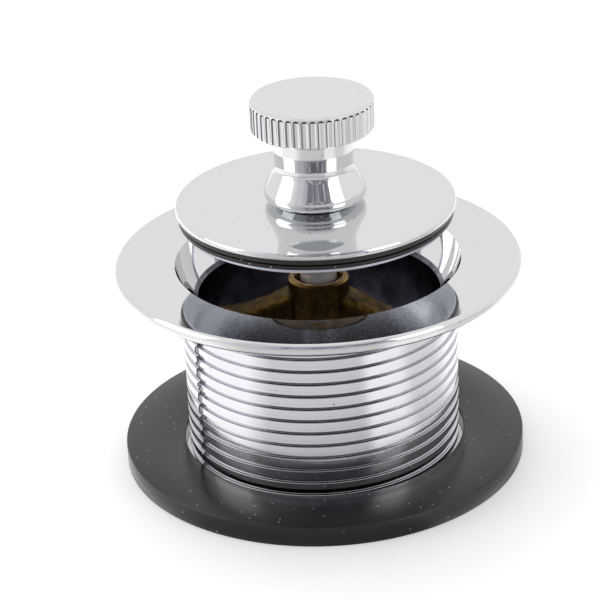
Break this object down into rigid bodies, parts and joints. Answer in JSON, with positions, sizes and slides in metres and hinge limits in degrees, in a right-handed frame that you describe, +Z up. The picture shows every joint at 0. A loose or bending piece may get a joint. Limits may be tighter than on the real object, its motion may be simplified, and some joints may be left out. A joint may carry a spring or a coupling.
{
  "type": "bathtub drain stopper",
  "caption": "Lift and turn bath drain: flanged threaded body with crossbar and post, knobbed disc stopper with seal, loose rubber washer.",
  "frame": {"origin": "centre of the barrel's foot, on the surface that the part stands on", "axes": "+Z up along the common axis of barrel, post and knob; -Y towards the viewer of the picture, +X to the viewer's right"},
  "size_m": [0.0704, 0.0704, 0.0657],
  "materials": {
    "chrome_plate": "polished",
    "cast_brass": "rough cast",
    "turned_brass": "turned",
    "bright_steel": "bright",
    "satin_steel": "satin",
    "black_rubber": "matt",
    "nylon": "matt"
  },
  "bodies": {
    "drain": {"drain_body": "chrome_plate", "crossbar": "cast_brass", "post": "bright_steel", "cross_pin": "bright_steel"},
    "lift": {"drag_ring": "nylon"},
    "stopper": {"stopper_disc": "chrome_plate", "gasket": "black_rubber", "retainer_plate": "satin_steel", "retainer_nut": "turned_brass", "guide_sleeve": "turned_brass", "neck_washer": "black_rubber", "knob": "chrome_plate", "set_screw": "bright_steel"},
    "loose_washer": {"shoe_washer": "black_rubber"}
  },
  "joints": [
    {"name": "stopper_lift", "type": "slide", "parent": "drain", "child": "lift", "axis": [0, 0, 1], "range_m": [-0.0106, 0]},
    {"name": "stopper_turn", "type": "hinge", "parent": "lift", "child": "stopper", "pos_m": [0, 0, 0.045], "axis": [0, 0, 1], "range_deg": [0, 90]},
    {"name": "washer_slide", "type": "slide", "parent": "drain", "child": "loose_washer", "axis": [0, 0, 1], "range_m": [0, 0.027]}
  ]
}
